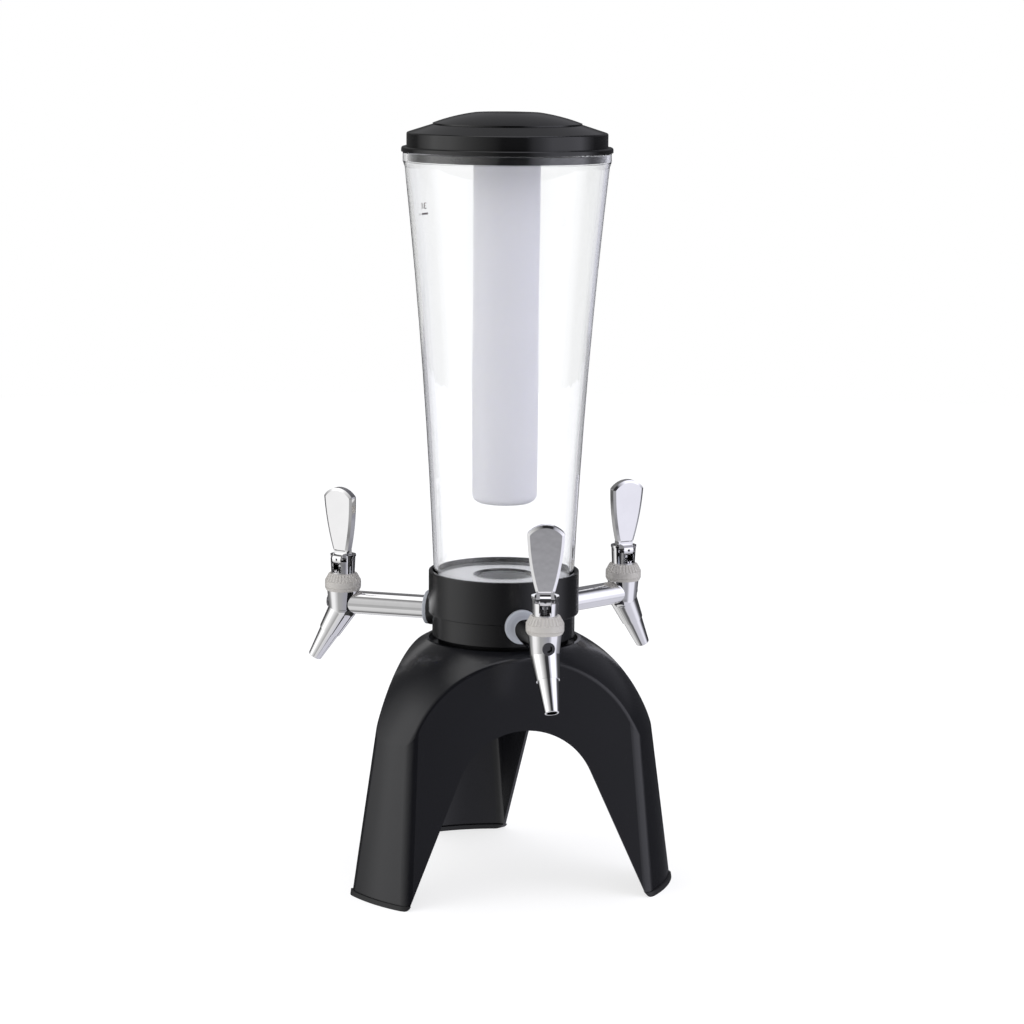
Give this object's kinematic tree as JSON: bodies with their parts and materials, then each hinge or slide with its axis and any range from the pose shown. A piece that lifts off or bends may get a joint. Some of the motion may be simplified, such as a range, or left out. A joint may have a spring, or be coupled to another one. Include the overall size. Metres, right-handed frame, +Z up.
{
  "type": "drink tower with taps",
  "caption": "Free-standing drink tower: tripod base, clear tumbler with hanging ice tube, domed lid and spring-closed taps round a collar.",
  "frame": {"origin": "on the tower's axis at floor level, where the three feet stand", "axes": "+Z up along the tower's axis; -Y towards the front tap"},
  "size_m": [0.2756, 0.2903, 0.5852],
  "materials": {
    "black_plastic": "moulded, semi-gloss",
    "black_gloss": "polished",
    "black_rubber": "matt",
    "white_plastic": "moulded",
    "grey_rubber": "matt",
    "clear_plastic": "clear polished",
    "milky_plastic": "milky, smooth",
    "pale_plastic": "translucent",
    "nut_plastic": "translucent, satin",
    "chrome": "bright plated",
    "steel": "turned"
  },
  "bodies": {
    "root": {"tripod_base": "black_plastic", "collar": "black_plastic", "manifold": "white_plastic", "neck_gasket": "grey_rubber", "base_screws": "steel", "foot_strip_right": "black_rubber", "foot_strip_left": "black_rubber", "foot_strip_rear": "black_rubber", "shank_front": "chrome", "washer_front": "pale_plastic", "lock_nut_front": "steel", "tap_body_front": "chrome", "port_plug_front": "chrome", "nozzle_front": "chrome", "bonnet_gasket_front": "grey_rubber", "coupling_nut_front": "nut_plastic", "bonnet_front": "chrome", "pivot_pin_front": "steel", "spring_front": "steel", "shank_right": "chrome", "washer_right": "pale_plastic", "lock_nut_right": "steel", "tap_body_right": "chrome", "port_plug_right": "chrome", "nozzle_right": "chrome", "bonnet_gasket_right": "grey_rubber", "coupling_nut_right": "nut_plastic", "bonnet_right": "chrome", "pivot_pin_right": "steel", "spring_right": "steel", "shank_left": "chrome", "washer_left": "pale_plastic", "lock_nut_left": "steel", "tap_body_left": "chrome", "port_plug_left": "chrome", "nozzle_left": "chrome", "bonnet_gasket_left": "grey_rubber", "coupling_nut_left": "nut_plastic", "bonnet_left": "chrome", "pivot_pin_left": "steel", "spring_left": "steel"},
    "tumbler": {"tumbler": "clear_plastic"},
    "lid": {"lid_cover": "black_gloss", "lid_plug": "black_gloss"},
    "ice_tube": {"ice_tube": "milky_plastic"},
    "handle_front": {"handle_front": "chrome"},
    "stem_front": {"stem_front": "steel", "stem_seal_front": "grey_rubber"},
    "handle_right": {"handle_right": "chrome"},
    "stem_right": {"stem_right": "steel", "stem_seal_right": "grey_rubber"},
    "handle_left": {"handle_left": "chrome"},
    "stem_left": {"stem_left": "steel", "stem_seal_left": "grey_rubber"}
  },
  "joints": [
    {"name": "tumbler_lift", "type": "slide", "parent": "root", "child": "tumbler", "axis": [0, 0, 1], "range_m": [0, 0.08]},
    {"name": "lid_lift", "type": "slide", "parent": "tumbler", "child": "lid", "axis": [0, 0, 1], "range_m": [0, 0.3]},
    {"name": "ice_tube_drop", "type": "slide", "parent": "lid", "child": "ice_tube", "axis": [0, 0, -1], "range_m": [0, 0.03]},
    {"name": "handle_front_tip", "type": "hinge", "parent": "root", "child": "handle_front", "pos_m": [0, -0.1304, 0.2395], "axis": [0.9744, -0.225, 0], "range_deg": [0, 45], "stiffness_Nm_per_rad": 0.15, "springref_deg": -8.59},
    {"name": "stem_front_press", "type": "slide", "parent": "root", "child": "stem_front", "axis": [0, 0, -1], "range_m": [0, 0.00307], "stiffness_N_per_m": 40, "springref_m": -0.002, "deforming": ["spring_front"]},
    {"name": "handle_right_tip", "type": "hinge", "parent": "root", "child": "handle_right", "pos_m": [0.11293, 0.0652, 0.2395], "axis": [0.9659, 0.2588, 0], "range_deg": [0, 45], "stiffness_Nm_per_rad": 0.15, "springref_deg": -8.59},
    {"name": "stem_right_press", "type": "slide", "parent": "root", "child": "stem_right", "axis": [0, 0, -1], "range_m": [0, 0.00307], "stiffness_N_per_m": 40, "springref_m": -0.002, "deforming": ["spring_right"]},
    {"name": "handle_left_tip", "type": "hinge", "parent": "root", "child": "handle_left", "pos_m": [-0.11293, 0.0652, 0.2395], "axis": [0.6561, -0.7547, 0], "range_deg": [0, 45], "stiffness_Nm_per_rad": 0.15, "springref_deg": -8.59},
    {"name": "stem_left_press", "type": "slide", "parent": "root", "child": "stem_left", "axis": [0, 0, -1], "range_m": [0, 0.00307], "stiffness_N_per_m": 40, "springref_m": -0.002, "deforming": ["spring_left"]}
  ],
  "couplings": [
    {"joint": "stem_front_press", "follows": "handle_front_tip", "m_per_rad": 0.003781},
    {"joint": "stem_right_press", "follows": "handle_right_tip", "m_per_rad": 0.003781},
    {"joint": "stem_left_press", "follows": "handle_left_tip", "m_per_rad": 0.003781}
  ]
}
